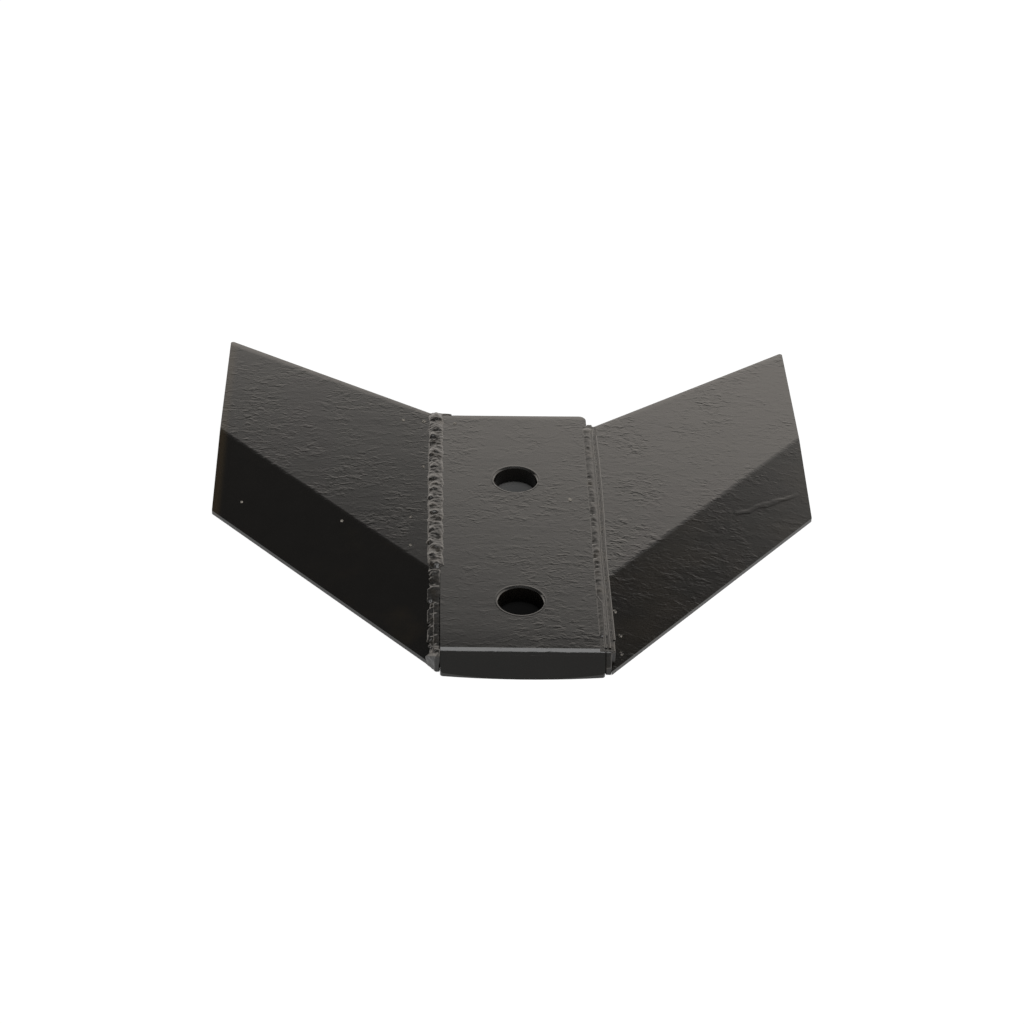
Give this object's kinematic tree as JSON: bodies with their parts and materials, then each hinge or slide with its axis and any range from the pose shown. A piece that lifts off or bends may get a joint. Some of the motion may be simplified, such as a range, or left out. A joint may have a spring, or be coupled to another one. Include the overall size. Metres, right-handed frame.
{
  "type": "cultivator share",
  "caption": "Welded winged cultivator share: flat centre plate with bolt holes in line and a bevelled nose, between swept-back wings with ground leading edges.",
  "frame": {"origin": "on the underside of the centre plate, midway between the two bolt holes", "axes": "+Z out of the upper, working face, along the bolts; -Y towards the bevelled nose and the cutting edges; +X to the right side seen from behind the nose looking along +Y"},
  "size_m": [0.1971, 0.1811, 0.0069],
  "materials": {
    "painted_plate": "glossy black paint over hot-rolled steel",
    "painted_weld": "black paint over rough weld metal"
  },
  "bodies": {
    "root": {"centre_plate": "painted_plate", "left_wing": "painted_plate", "right_wing": "painted_plate", "left_weld": "painted_weld", "right_weld": "painted_weld"}
  },
  "joints": []
}
